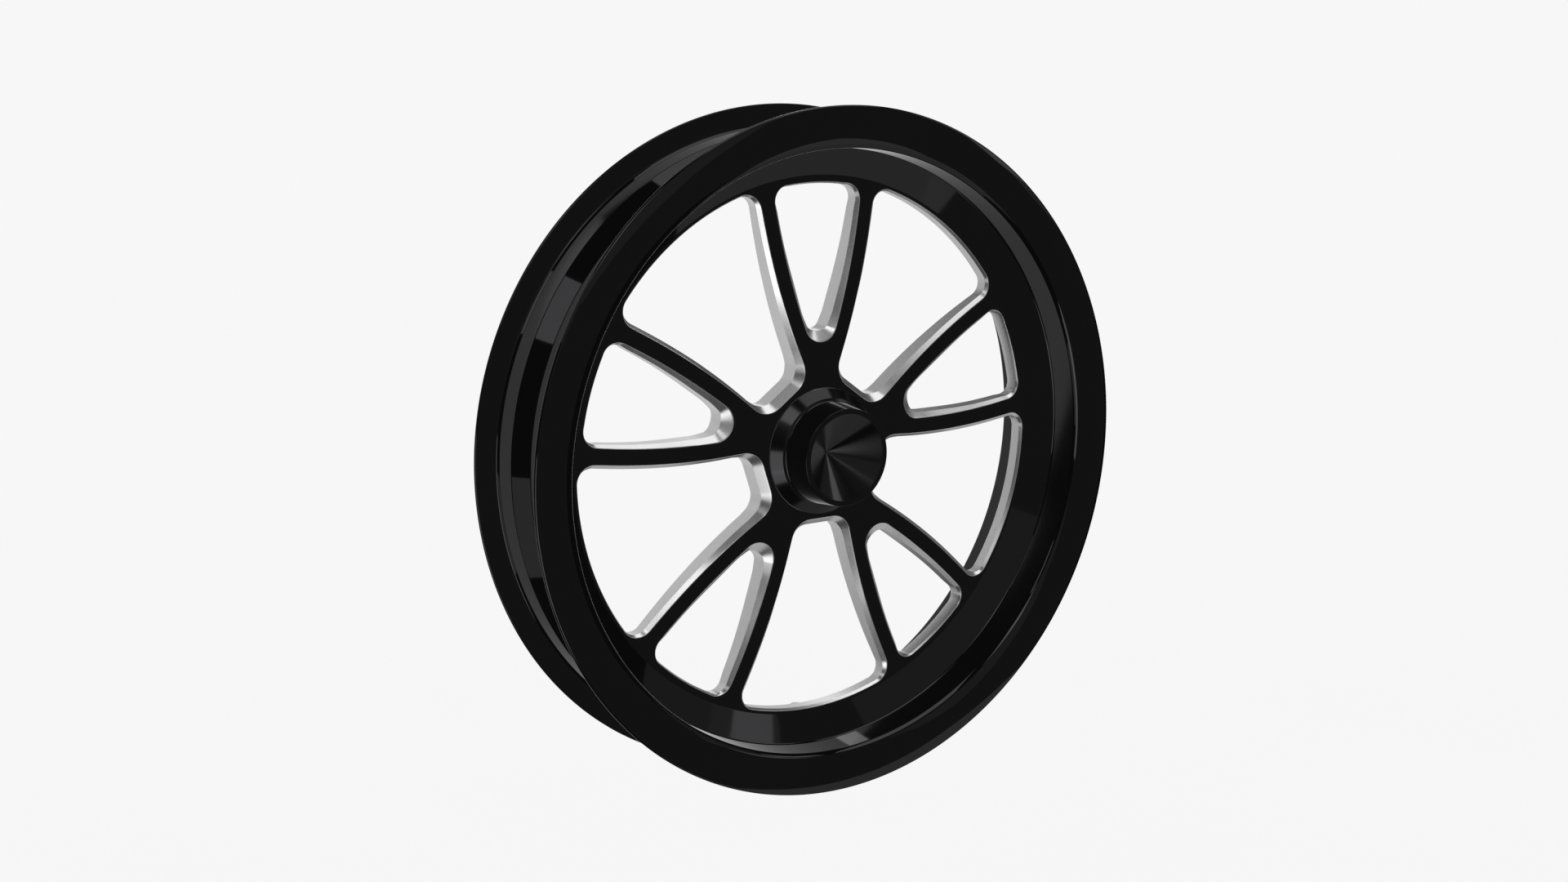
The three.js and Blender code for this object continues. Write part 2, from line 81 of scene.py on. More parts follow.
def spoke_back(radius):
    """y of the centre's back face, a still shallower cone."""
    return 7.4 - 0.02 * (radius - 90)


def chamfer_foot(radius):
    """y where the windows' chamfer meets their straight wall."""
    return -5.5 + 2.5 * min(max(radius - 120, 0), 62) / 62


# ---------------------------------------------------------------- shader maths

class Number:
    """A number that varies over a surface. Sums on it add Math nodes."""

    def __init__(self, paint, socket):
        self.paint = paint
        self.socket = socket

    def sum_with(self, operation, first, second):
        node = self.paint.node("ShaderNodeMath", {"operation": operation}, {0: first, 1: second})
        return Number(self.paint, node.outputs[0])

    def __add__(self, other):
        return self.sum_with("ADD", self, other)

    def __radd__(self, other):
        return self.sum_with("ADD", other, self)

    def __rsub__(self, other):
        return self.sum_with("SUBTRACT", other, self)

    def __mul__(self, other):
        return self.sum_with("MULTIPLY", self, other)

    def __rmul__(self, other):
        return self.sum_with("MULTIPLY", other, self)

    def __pow__(self, other):
        return self.sum_with("POWER", self, other)

    def sine(self):
        return self.sum_with("SINE", self, 0.0)

    def between(self, low, high):
        """0 up to low, 1 from high, and a smooth step in the middle."""
        settings = {"interpolation_type": "SMOOTHSTEP"}
        node = self.paint.node("ShaderNodeMapRange", settings, {"Value": self, 1: low, 2: high})
        return Number(self.paint, node.outputs[0])


class Paint:
    """One procedural material on Object coordinates."""

    def __init__(self, name, **constants):
        self.material = bpy.data.materials.new(name)
        self.material.use_nodes = True
        self.tree = self.material.node_tree
        self.shader = self.tree.nodes["Principled BSDF"]
        self.output = self.tree.nodes["Material Output"]
        for socket, value in constants.items():
            self.shader.inputs[socket.replace("_", " ")].default_value = value
        self.place = self.node("ShaderNodeTexCoord").outputs["Object"]
        split = self.node("ShaderNodeSeparateXYZ", {}, {0: self.place})
        self.x, self.y, self.z = [Number(self, socket) for socket in split.outputs]

    def node(self, kind, settings=None, inputs=None):
        node = self.tree.nodes.new(kind)
        for key, value in (settings or {}).items():
            setattr(node, key, value)
        for key, value in (inputs or {}).items():
            socket = node.inputs[key]
            source = value.socket if isinstance(value, Number) else value
            if isinstance(source, bpy.types.NodeSocket):
                self.tree.links.new(source, socket)
            else:
                socket.default_value = source
        return node

    def radius(self):
        return (self.x * self.x + self.z * self.z) ** 0.5

    def point(self, x, y, z):
        return self.node("ShaderNodeCombineXYZ", {}, {0: x, 1: y, 2: z}).outputs[0]

    def grain(self, scale, detail=3.0, roughness=0.5, at=None):
        inputs = {"Vector": at or self.place, "Scale": scale, "Detail": detail, "Roughness": roughness}
        node = self.node("ShaderNodeTexNoise", {"noise_dimensions": "3D"}, inputs)
        return Number(self, node.outputs[0])

    def blend(self, amount, first, second):
        inputs = {"Factor": amount, 6: first, 7: second}
        return self.node("ShaderNodeMix", {"data_type": "RGBA"}, inputs).outputs[2]

    def feed(self, socket, value):
        source = value.socket if isinstance(value, Number) else value
        self.tree.links.new(source, self.shader.inputs[socket])

    def relief(self, height, depth):
        """Bumps of the given depth in metres."""
        node = self.node("ShaderNodeBump", {}, {"Height": height, "Distance": depth, "Strength": 1.0})
        self.feed("Normal", node.outputs[0])


# ---------------------------------------------------------------- materials

def gloss_black(name, roughness):
    """Wet-looking black finish on alloy, with a faint ripple and a little dust."""
    paint = Paint(name, Metallic=1.0, Specular_Tint=(0.6, 0.6, 0.6, 1))
    ripple = paint.grain(420.0, 2.0)
    haze = paint.grain(16.0, 4.0)
    dust = paint.grain(2600.0, 1.0).between(0.70, 0.78)
    paint.feed("Base Color", paint.blend(haze, (0.043, 0.043, 0.045, 1), (0.047, 0.047, 0.049, 1)))
    paint.feed("Roughness", roughness + 0.03 * haze + 0.08 * dust)
    paint.relief(ripple, 0.0000015)
    return paint.material


def milled_alloy():
    """Bare alloy left by the cutter: fine steps along the wheel's axis and a slow change of shade."""
    paint = Paint("milled_alloy", Metallic=1.0)
    steps = (paint.y * 9000.0 + 1.2 * paint.grain(60.0, 2.0)).sine()
    stroke = paint.grain(1.0, 3.0, 0.6, paint.point(paint.x * 260.0, paint.y * 2600.0, paint.z * 260.0))
    shade = paint.grain(38.0, 2.0)
    light = 0.5 * shade + 0.5 * stroke
    paint.feed("Base Color", paint.blend(light, (0.86, 0.86, 0.87, 1), (0.97, 0.97, 0.96, 1)))
    paint.feed("Roughness", 0.26 + 0.08 * stroke + 0.02 * steps)
    paint.relief(0.6 * stroke + 0.2 * steps, 0.000002)
    return paint.material


def turned_metal(name, dark, bright, roughness, line_density=5200.0):
    """Metal turned or ground round the wheel's axis, with fine rings."""
    paint = Paint(name, Metallic=1.0)
    lines = paint.point(paint.radius() * line_density, paint.y * line_density, 0.0)
    rings = paint.grain(1.0, 3.0, 0.7, lines)
    stain = paint.grain(90.0, 3.0)
    paint.feed("Base Color", paint.blend(0.6 * rings + 0.4 * stain, dark, bright))
    paint.feed("Roughness", roughness + 0.12 * rings + 0.06 * stain)
    paint.relief(rings, 0.000012)
    return paint.material


def pressed_steel():
    """Cold pressed sheet steel of the cages, a little oily."""
    paint = Paint("pressed_steel", Metallic=1.0)
    oil = paint.grain(220.0, 4.0)
    paint.feed("Base Color", paint.blend(oil, (0.16, 0.16, 0.165, 1), (0.34, 0.34, 0.345, 1)))
    paint.feed("Roughness", 0.28 + 0.3 * oil)
    paint.relief(paint.grain(1800.0, 2.0), 0.00001)
    return paint.material


def blackened_steel():
    """Black oxide on the socket screws, rubbed through to steel in places."""
    paint = Paint("blackened_steel", Metallic=0.85)
    rubbed = paint.grain(700.0, 5.0, 0.7).between(0.60, 0.74)
    paint.feed("Base Color", paint.blend(rubbed, (0.012, 0.012, 0.013, 1), (0.10, 0.10, 0.10, 1)))
    paint.feed("Roughness", 0.42 - 0.14 * rubbed + 0.1 * paint.grain(300.0))
    paint.relief(paint.grain(3200.0, 2.0), 0.00001)
    return paint.material


def zinc_plate():
    """Zinc plated steel with a pale yellow bloom."""
    paint = Paint("zinc_plate", Metallic=1.0)
    bloom = paint.grain(130.0, 5.0, 0.65)
    paint.feed("Base Color", paint.blend(bloom, (0.44, 0.45, 0.44, 1), (0.66, 0.63, 0.50, 1)))
    paint.feed("Roughness", 0.26 + 0.24 * bloom)
    paint.relief(paint.grain(2400.0, 2.0), 0.000008)
    return paint.material


def black_rubber():
    """Moulded rubber with a fine matt grain and a grey bloom."""
    paint = Paint("black_rubber", Metallic=0.0, Specular_IOR_Level=0.35)
    bloom = paint.grain(160.0, 4.0)
    paint.feed("Base Color", paint.blend(bloom, (0.010, 0.010, 0.010, 1), (0.024, 0.024, 0.023, 1)))
    paint.feed("Roughness", 0.62 + 0.25 * bloom)
    paint.relief(paint.grain(5200.0, 3.0), 0.00003)
    return paint.material


def drawn_brass():
    """Drawn brass of the valve core, slightly tarnished."""
    paint = Paint("drawn_brass", Metallic=1.0)
    tarnish = paint.grain(500.0, 4.0)
    paint.feed("Base Color", paint.blend(tarnish, (0.70, 0.50, 0.20, 1), (0.42, 0.28, 0.10, 1)))
    paint.feed("Roughness", 0.24 + 0.25 * tarnish)
    return paint.material


def pale_floor():
    """Glowing white studio floor that fades out towards its edge."""
    paint = Paint("pale_floor", Roughness=0.95, Specular_IOR_Level=0.0, Emission_Strength=1.0)
    cloud = paint.grain(3.0, 2.0)
    paint.feed("Base Color", paint.blend(cloud, (0.010, 0.010, 0.010, 1), (0.014, 0.014, 0.014, 1)))
    paint.feed("Emission Color", paint.blend(cloud, (0.918, 0.918, 0.918, 1), (0.924, 0.924, 0.924, 1)))
    away = (paint.x * paint.x + paint.y * paint.y) ** 0.5
    fade = away.between(FLOOR_FADE_RADIUS, FLOOR_RADIUS)
    clear = paint.node("ShaderNodeBsdfTransparent")
    inputs = {0: fade, 1: paint.shader.outputs[0], 2: clear.outputs[0]}
    mixed = paint.node("ShaderNodeMixShader", {}, inputs)
    paint.tree.links.new(mixed.outputs[0], paint.output.inputs[0])
    return paint.material


BLACK = gloss_black("gloss_black", 0.03)
CAP_BLACK = gloss_black("cap_black", 0.13)
MILLED = milled_alloy()
GROUND_STEEL = turned_metal("ground_steel", (0.34, 0.35, 0.37, 1), (0.62, 0.63, 0.65, 1), 0.14)
TURNED_ALLOY = turned_metal("turned_alloy", (0.56, 0.57, 0.58, 1), (0.82, 0.82, 0.82, 1), 0.24, 3000.0)
PRESSED_STEEL = pressed_steel()
BLACKENED = blackened_steel()
ZINC = zinc_plate()
RUBBER = black_rubber()
BRASS = drawn_brass()
FLOOR = pale_floor()

# ---------------------------------------------------------------- drawing sections and outlines


def arc(centre, radius, start, end, steps):
    """Points of a round stretch, angles in degrees."""
    angles = [math.radians(start + (end - start) * i / steps) for i in range(steps + 1)]
    return [(centre[0] + radius * math.cos(a), centre[1] + radius * math.sin(a)) for a in angles]


def rounded(corners, steps=4):
    """A closed outline from (across, along, fillet radius) corners."""
    outline = []
    for i, (x, y, fillet) in enumerate(corners):
        here = Vector((x, y))
        if not fillet:
            outline.append((x, y))
            continue
        before = (Vector(corners[i - 1][:2]) - here).normalized()
        after = (Vector(corners[(i + 1) % len(corners)][:2]) - here).normalized()
        half = before.angle(after) / 2
        middle = here + (before + after).normalized() * (fillet / math.sin(half))
        start = here + before * (fillet / math.tan(half)) - middle
        end = here + after * (fillet / math.tan(half)) - middle
        for k in range(steps + 1):
            outline.append(tuple(middle + start.slerp(end, k / steps).normalized() * fillet))
    return outline


def select_only(piece):
    bpy.ops.object.select_all(action="DESELECT")
    piece.select_set(True)
    bpy.context.view_layer.objects.active = piece


def loop_of_points(name, spots, fill="NOTHING"):
    """A circle of edges, its points moved on to the given spots."""
    bpy.ops.object.select_all(action="DESELECT")
    bpy.ops.mesh.primitive_circle_add(vertices=len(spots), radius=1.0, fill_type=fill)
    piece = bpy.context.active_object
    piece.name = name
    piece.data.name = name
    for vertex, spot in zip(piece.data.vertices, spots):
        vertex.co = spot
    return piece


def face_outwards():
    bpy.ops.mesh.select_all(action="SELECT")
    bpy.ops.mesh.normals_make_consistent(inside=False)


def spun(name, corners, steps=192, fillet_steps=4):
    """Turns a section of (radius, y, fillet) corners, in millimetres, about the wheel's axis."""
    section = rounded(corners, fillet_steps)
    piece = loop_of_points(name, [(r * MM, y * MM, 0) for r, y in section])
    bpy.ops.object.mode_set(mode="EDIT")
    bpy.ops.mesh.select_all(action="SELECT")
    bpy.ops.mesh.spin(steps=steps, angle=FULL_TURN, center=(0, 0, 0), axis=(0, 1, 0))
    bpy.ops.mesh.select_all(action="SELECT")
    bpy.ops.mesh.remove_doubles(threshold=1e-6)
    bpy.ops.mesh.delete_loose()
    face_outwards()
    bpy.ops.object.mode_set(mode="OBJECT")
    return piece


def walls_through(name, rings):
    """A closed solid whose wall runs through rings of equally many spots."""
    piece = loop_of_points(name, rings[0], fill="NGON")
    bpy.ops.object.mode_set(mode="EDIT")
    bpy.ops.mesh.select_all(action="SELECT")
    for old, new in zip(rings, rings[1:]):
        bpy.ops.mesh.extrude_region_move(TRANSFORM_OT_translate={"value": (0, 0, 0)})
        mesh = bmesh.from_edit_mesh(piece.data)
        spots = KDTree(len(old))
        for number, spot in enumerate(old):
            spots.insert(spot, number)
        spots.balance()
        for vertex in [v for v in mesh.verts if v.select]:
            vertex.co = new[spots.find(vertex.co)[1]]
        bmesh.update_edit_mesh(piece.data)
    face_outwards()
    bpy.ops.object.mode_set(mode="OBJECT")
    return piece


def rod(name, radius, start, end, sides=48):
    """A plain round or many-sided rod between two spots in millimetres."""
    start, end = Vector(start) * MM, Vector(end) * MM
    bpy.ops.object.select_all(action="DESELECT")
    bpy.ops.mesh.primitive_cylinder_add(vertices=sides, radius=radius * MM, depth=(end - start).length)
    piece = bpy.context.active_object
    piece.name = name
    turn = (end - start).to_track_quat("Z", "Y").to_matrix().to_4x4()
    piece.data.transform(Matrix.Translation((start + end) / 2) @ turn)
    return piece


def apply_modifier(piece, kind, **settings):
    select_only(piece)
    modifier = piece.modifiers.new(kind.lower(), kind)
    for key, value in settings.items():
        setattr(modifier, key, value)
    bpy.ops.object.modifier_apply(modifier=modifier.name)


def cut(piece, *cutters):
    """Takes the cutters away from the piece and removes them."""
    for cutter in cutters:
        apply_modifier(piece, "BOOLEAN", operation="DIFFERENCE", solver="EXACT", object=cutter)
        bpy.data.objects.remove(cutter, do_unlink=True)


def copy_turned(piece, name, degrees):
    """A copy with its own mesh, turned about the wheel's axis."""
    twin = piece.copy()
    twin.data = piece.data.copy()
    twin.name = name
    bpy.context.collection.objects.link(twin)
    twin.data.transform(Matrix.Rotation(math.radians(degrees), 4, "Y"))
    return twin


def smooth(piece, degrees):
    """Smooth shading, with an edge kept sharp where it turns by more than the given angle."""
    select_only(piece)
    bpy.ops.object.shade_smooth_by_angle(angle=math.radians(degrees))
    apply_modifier(piece, "WEIGHTED_NORMAL", keep_sharp=True, weight=80)


def place(piece, body, node, material=None, sharp_from=32):
    """Gives a finished piece its material, smooth shading and body, hides the frame's part it stands in for,
    and keeps it out of reflections.
    """
    if material:
        piece.data.materials.clear()
        piece.data.materials.append(material)
    smooth(piece, sharp_from)
    piece.visible_glossy = False
    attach(piece, body)
    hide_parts(node)


# ---------------------------------------------------------------- rim

def valve_bore(radius, start, end):
    """A cutter that stands up through the bottom of the rim, between two radii."""
    return rod("valve_bore", radius, (0, VALVE_Y, -start), (0, VALVE_Y, -end))


def make_rim():
    front = [
        (BORE_RADIUS, -40.9, 5.0),
        (212.5, -44.4, 30.0),
        (219.0, -RIM_HALF_WIDTH, 25.0),
        (227.0, -RIM_HALF_WIDTH, 42.0),
        (RIM_RADIUS, -44.0, 1.6),
        (RIM_RADIUS, LIP_BACK_Y, 0.9),
        (218.6, LIP_BACK_Y, 1.6),
        (BEAD_RADIUS, -38.8, 1.2),
        (BEAD_RADIUS - 1.1, -23.8, 2.4),
        (DROP_RADIUS, -10.9, 2.4),
    ]
    back = [(r, -y, fillet) for r, y, fillet in reversed(front)]
    rim = spun("rim", front + back, steps=360, fillet_steps=7)
    cut(rim,
        valve_bore(VALVE_HOLE_RADIUS, 195, 225),
        valve_bore(VALVE_SEAT_RADIUS, 210, 225),
        valve_bore(VALVE_SEAT_RADIUS, 195, 206))
    place(rim, "wheel", "rim_hoop", material=BLACK)


# ---------------------------------------------------------------- spoked centre
#
# A window is drawn as (s, h): s runs outwards along its middle line and h across it.

def small_window():
    """Half the outline of a window inside a forked spoke."""
    def side(s):
        return 16.13 + 0.3312 * (s - 95) - 0.00115 * (s - 95) ** 2

    half = arc((87.9, 0), 12.9, 180, 109.6, 16)
    half += [(s, side(s)) for s in [85 + 4.1 * i for i in range(1, 20)]]
    half += arc((169.6, 23.3), 11, 99.5, 7.8, 14)
    half += arc((0, 0), 182.1, 7.0, 0, 8)
    return half


def large_window():
    """Half the outline of a window between two spokes."""
    def side(s):
        return 24.75 + 0.2427 * (s - 62) + 0.001264 * (s - 62) ** 2

    half = [(47.3, 0), (47.3, 5)]
    half += arc((62.3, 9.3), 15, 180, 103.4, 16)
    half += [(s, side(s)) for s in [60 + 4.5 * i for i in range(1, 22)]]
    half += arc((165.5, 50.0), 11.9, 114.0, 17.5, 14)
    half += arc((0, 0), 184.8, 15.2, 0, 14)
    return half


# (s, chamfer width), with straight runs in between
SMALL_CHAMFER = [
    (75, 7.0), (84, 4.2), (92, 3.25), (105, 3.25), (140, 2.4), (163, 2.2), (178, 0.9), (190, 0.9),
]
LARGE_CHAMFER = [(47, 4.5), (54, 4.0), (62, 2.5), (160, 2.5), (175, 1.0), (190, 1.0)]
FRONT_EDGE_BREAK = 0.32      # how far the rounding at the chamfer's edge reaches on to the front face
BACK_EDGE_BREAK = 0.5


def width_at(table, s):
    """The chamfer's width at s."""
    for (s0, w0), (s1, w1) in zip(table, table[1:]):
        if s <= s1:
            step = min(max((s - s0) / (s1 - s0), 0), 1)
            return w0 + (w1 - w0) * step
    return table[-1][1]


def both_sides(half):
    """A half outline and its mirror image, which share the first and the last point."""
    return half + [(s, -h) for s, h in reversed(half[1:-1])]


def moved_in(outline, width):
    """The outline moved towards its inside by width(s)."""
    moved = []
    for i, (s, h) in enumerate(outline):
        before, after = outline[i - 1], outline[(i + 1) % len(outline)]
        along = Vector((after[0] - before[0], after[1] - before[1])).normalized()
        moved.append((s + along.y * width(s), h - along.x * width(s)))
    return moved


def window_cutter(name, half, chamfer):
    """The space a cutter clears: straight wall from behind, sloping chamfer at the front."""
    edge = both_sides(half)
    wall = moved_in(edge, lambda s: width_at(chamfer, s))

    def ring(outline, depth):
        return [(s * MM, depth(math.hypot(s, h)) * MM, h * MM) for s, h in outline]

    def along_chamfer(share):
        """Spots part of the way from the chamfer's foot to its edge."""
        spots = []
        for (s0, h0), (s1, h1) in zip(wall, edge):
            foot = Vector((s0, chamfer_foot(math.hypot(s0, h0)), h0))
            top = Vector((s1, spoke_front(math.hypot(s1, h1)), h1))
            spots.append(tuple(foot.lerp(top, share) * MM))
        return spots

    outside = moved_in(edge, lambda s: -FRONT_EDGE_BREAK)
    soft = moved_in(edge, lambda s: -0.03)
    flare = moved_in(wall, lambda s: -BACK_EDGE_BREAK)
    rings = [
        ring(flare, lambda r: 20.0),
        ring(flare, spoke_back),
        ring(wall, lambda r: spoke_back(r) - BACK_EDGE_BREAK),
        ring(wall, chamfer_foot),
        along_chamfer(0.93),
        ring(soft, lambda r: spoke_front(r) + 0.08),
        ring(outside, spoke_front),
        ring(outside, lambda r: -30.0),
    ]
    cutter = walls_through(name, rings)
    cutter.data.materials.append(BLACK)
    cutter.data.materials.append(MILLED)
    for face in cutter.data.polygons:
        face.material_index = 1
    return cutter


def cut_windows(centre):
    for kind, half, chamfer, first in (("small", small_window(), SMALL_CHAMFER, 90),
                                       ("large", large_window(), LARGE_CHAMFER, 54)):
        cutter = window_cutter(f"{kind}_window", half, chamfer)
        for i in range(SPOKES):
            degrees = -(first + 360 / SPOKES * i)
            cut(centre, copy_turned(cutter, f"{kind}_window_{i + 1}", degrees))
        bpy.data.objects.remove(cutter, do_unlink=True)


def screw_spots(y):
    """A spot on each screw's axis: one screw stands behind each spoke."""
    for i in range(SPOKES):
        angle = math.radians(90 + 360 / SPOKES * i)
        yield SCREW_CIRCLE_RADIUS * math.cos(angle), y, SCREW_CIRCLE_RADIUS * math.sin(angle)


def drill_screw_holes(piece, start_y):
    ends = zip(screw_spots(start_y), screw_spots(HOLE_END_Y))
    cut(piece, *[rod("screw_hole", SCREW_HOLE_RADIUS, start, end) for start, end in ends])


def make_centre():
    section = [
        (27.0, 8.3, 0.4),
        (27.0, -12.0, 0.4),
        (45.0, -12.0, 0),
        (FACE_CORNER_RADIUS, spoke_front(FACE_CORNER_RADIUS), 1.2),
        *[(r, y, 0) for r, y in arc((203.42, -18.68), 2.0, 56.6, 0, 8)],
        (205.42, 11.0, 0.9),
        (190.0, spoke_back(190), 1.2),
        (45.0, 8.3, 0),
    ]
    centre = spun("spoked_centre", section, steps=360)
    centre.data.materials.append(BLACK)
    centre.data.materials.append(MILLED)
    cut_windows(centre)
    drill_screw_holes(centre, -4.0)
    place(centre, "wheel", "wheel_centre", sharp_from=20)


# ---------------------------------------------------------------- hub, screws and cap

def make_hub():
    seat = 22.92
    section = [
        (seat, -1.0, 0.4), (26.7, -1.0, 0.5), (26.7, 8.6, 0.3), (44.5, 8.6, 0.4), (44.5, 13.6, 0.8),
        (31.5, 13.6, 1.6), (30.0, 18.0, 3.0), (30.0, 45.5, 0.8), (seat, 45.5, 0.6),
        (seat, 24.7, 0.2), (18.6, 24.7, 0.4), (18.6, 19.2, 0.4), (seat, 19.2, 0.2),
    ]
    hub = spun("hub_barrel_turned", section, steps=128)
    drill_screw_holes(hub, 6.0)
    place(hub, "wheel", "hub_barrel", material=BLACK)


def make_screws():
    seat, top = 13.9, 19.9
    section = [
        (0, -3.0, 0), (2.5, -3.0, 0), (3.0, -2.5, 0), (3.0, seat, 0.25),
        (5.0, seat, 0.25), (5.0, top, 0.55), (0, top, 0),
    ]
    screw = spun("screw", section, steps=48)
    cut(screw, rod("socket", 2.9, (0, top - 3.2, 0), (0, top + 2, 0), sides=6))
    for i, (x, y, z) in enumerate(screw_spots(0)):
        twin = copy_turned(screw, f"socket_screw_{i + 1}", 0)
        twin.data.transform(Matrix.Translation((x * MM, 0, z * MM)))
        place(twin, "wheel", f"hub_screw_{i + 1}", material=BLACKENED)
    bpy.data.objects.remove(screw, do_unlink=True)


def make_cap():
    section = [
        (0, -16.5, 0), (0.9, -17.25, 0), (29.7, -41.4, 0.35), (CAP_RADIUS, -41.4, 0.45),
        (35.3, -20.6, 1.4), (37.4, -19.6, 0.5), (CAP_BASE_RADIUS, -13.3, 0.5), (CAP_BASE_RADIUS, -12.1, 0.3),
        (26.6, -12.1, 0.2), (26.6, -9.1, 0.2), (25.2, -9.1, 0.2), (25.2, -6.9, 0.2), (26.6, -6.9, 0.2),
        (26.6, -3.5, 0.4), (24.2, -3.5, 0.3), (24.2, -15.0, 0.6), (30.6, -21.5, 0.6),
        (30.6, -37.6, 1.0), (28.6, -37.6, 0.4), (0, -13.3, 0),
    ]
    cap = spun("dust_cap_turned", section, steps=256)
    place(cap, "wheel", "dust_cap", material=CAP_BLACK)


def make_o_ring():
    middle, wire = 26.05, 0.72
    section = [(r, y, 0) for r, y in arc((middle, -8.0), wire, 0, 337.5, 15)]
    place(spun("cap_seal_ring", section, steps=128), "wheel", "cap_o_ring", material=RUBBER)


# ---------------------------------------------------------------- bearings, seal and spacer

BEARING_LENGTH = 15.494      # from the thrust face to the cup's far face
CUP_LENGTH = 12.065
CUP_RADIUS = 22.62
CONE_BORE_RADIUS = 9.6
PITCH_RADIUS = 16.3          # the rollers' axes cross the middle of the cup here
TILT = math.radians(12.25)   # of the rollers' axes to the wheel's
TAPER = math.radians(2.09)   # half the taper of a roller
MIDDLE_Y = BEARING_LENGTH - CUP_LENGTH / 2
APEX_Y = MIDDLE_Y + PITCH_RADIUS / math.tan(TILT)
ROLLER_LENGTH = 9.0
ROLLER_PLAY = 0.12
ROLLERS = 12


def race(y, tilt):
    """Radius at y of a cone that has its point where all the rollers' axes meet."""
    return (APEX_Y - y) * math.tan(tilt)


def seat_bearing(piece, which):
    """Moves a bearing piece, drawn with its thrust face at zero, to its place in the hub."""
    if which == "inner":
        piece.data.transform(Matrix.Rotation(math.pi, 4, "X"))
    piece.data.transform(Matrix.Translation((0, BEARING_FACES[which] * MM, 0)))


def cup_section():
    front, back = BEARING_LENGTH - CUP_LENGTH, BEARING_LENGTH
    outer = TILT + TAPER
    return [(race(front, outer) + ROLLER_PLAY, front, 0.4), (CUP_RADIUS, front, 0.6), (CUP_RADIUS, back, 1.2),
            (race(back, outer) + ROLLER_PLAY, back, 0.5)]


def cone_section():
    inner = TILT - TAPER
    start, end, back = 3.8, 13.8, 16.637
    return [
        (CONE_BORE_RADIUS, 0, 0.8), (16.0, 0, 0.5), (16.2, start, 0.3),
        (race(start, inner) - ROLLER_PLAY, start, 0.1), (race(end, inner) - ROLLER_PLAY, end, 0.1),
        (13.5, end, 0.3), (13.5, back, 0.4), (CONE_BORE_RADIUS, back, 0.6),
    ]


def cage_section():
    half = 0.55
    front, back = 2.2, 15.6
    return [(race(front, TILT) - half, front, 0.2), (race(front, TILT) + half, front, 0.2),
            (race(back, TILT) + half, back, 0.2), (race(back, TILT) - half, back, 0.2)]


def lay_on_pitch(piece, number):
    """Leans a roller-shaped piece to the pitch cone and turns it to its place in the row."""
    angle = 360 * (number + 0.5) / ROLLERS
    lean = Matrix.Rotation(TILT, 4, "Z")
    out = Matrix.Translation((PITCH_RADIUS * MM, MIDDLE_Y * MM, 0))
    piece.data.transform(Matrix.Rotation(math.radians(-angle), 4, "Y") @ out @ lean)


def roller_radius(towards_apex, spare):
    """Radius of a roller at a distance from its middle, less what is spared for play."""
    slant = PITCH_RADIUS / math.sin(TILT)
    return (slant - towards_apex) * math.tan(TAPER) - spare


def roller(name, spare=ROLLER_PLAY, longer=0.0, fillet=0.35):
    half = ROLLER_LENGTH / 2 + longer
    section = [(0, -half, 0), (roller_radius(-half, spare), -half, fillet),
               (roller_radius(half, spare), half, fillet), (0, half, 0)]
    return spun(name, section, steps=40, fillet_steps=3)


def make_bearing(which):
    cup = spun(f"{which}_race_cup", cup_section(), steps=96)
    seat_bearing(cup, which)
    place(cup, "wheel", f"{which}_bearing_cup", material=GROUND_STEEL)
    cone = spun(f"{which}_race_cone", cone_section(), steps=96)
    seat_bearing(cone, which)
    place(cone, "spindle_side", f"{which}_bearing_cone", material=GROUND_STEEL)
    cage = spun(f"{which}_roller_cage", cage_section(), steps=96)
    for number in range(ROLLERS):
        pocket = roller("pocket", spare=-0.25, longer=0.3, fillet=0)
        lay_on_pitch(pocket, number)
        cut(cage, pocket)
    seat_bearing(cage, which)
    place(cage, f"{which}_cage", f"{which}_bearing_cage", material=PRESSED_STEEL)
    for number in range(ROLLERS):
        piece = roller(f"{which}_taper_roller_{number + 1}")
        lay_on_pitch(piece, number)
        seat_bearing(piece, which)
        node = f"{which}_roller_{number + 1}"
        place(piece, f"{which}_cage", node, material=GROUND_STEEL)


def make_spacer():
    section = [(9.8, 20.34, 0.4), (13.0, 20.34, 0.4), (13.0, 23.56, 0.4), (9.8, 23.56, 0.4)]
    spacer = spun("cone_spacer", section, steps=96)
    place(spacer, "spindle_side", "bearing_spacer", material=ZINC)


def make_seal():
    case = [(18.5, 44.4, 0.2), (21.7, 44.4, 0.6), (21.7, 41.2, 0.2), (22.6, 41.2, 0.2), (22.6, 45.2, 0.9),
            (18.5, 45.2, 0.3)]
    lip = [(18.4, 41.8, 0.15), (18.4, 45.2, 0.3), (16.9, 45.2, 0.3), (15.9, 44.3, 0.2), (15.9, 43.7, 0.2),
           (16.2, 41.8, 0.15), (16.7, 41.8, 0.15), (16.7, 44.0, 0.3), (17.9, 44.0, 0.3), (17.9, 41.8, 0.15)]
    spring = [(r, y, 0) for r, y in arc((17.3, 42.9), 0.45, 0, 330, 11)]
    place(spun("seal_case", case, steps=96), "wheel", "grease_seal_case", material=ZINC)
    place(spun("seal_lip", lip, steps=96), "wheel", "grease_seal_lip", material=RUBBER)
    ring = spun("seal_spring", spring, steps=96)
    place(ring, "wheel", "grease_seal_spring", material=GROUND_STEEL)


# ---------------------------------------------------------------- valve

def valve_piece(name, node, corners, material):
    """A turned valve piece."""
    finish_valve_piece(spun(name, corners, steps=48), node, material)


def finish_valve_piece(piece, node, material):
    """Points a piece, drawn outwards from the wheel's middle, down at the rim."""
    down = Matrix.Rotation(math.radians(-90), 4, "X")
    piece.data.transform(Matrix.Translation((0, VALVE_Y * MM, 0)) @ down)
    place(piece, "wheel", node, material=material)


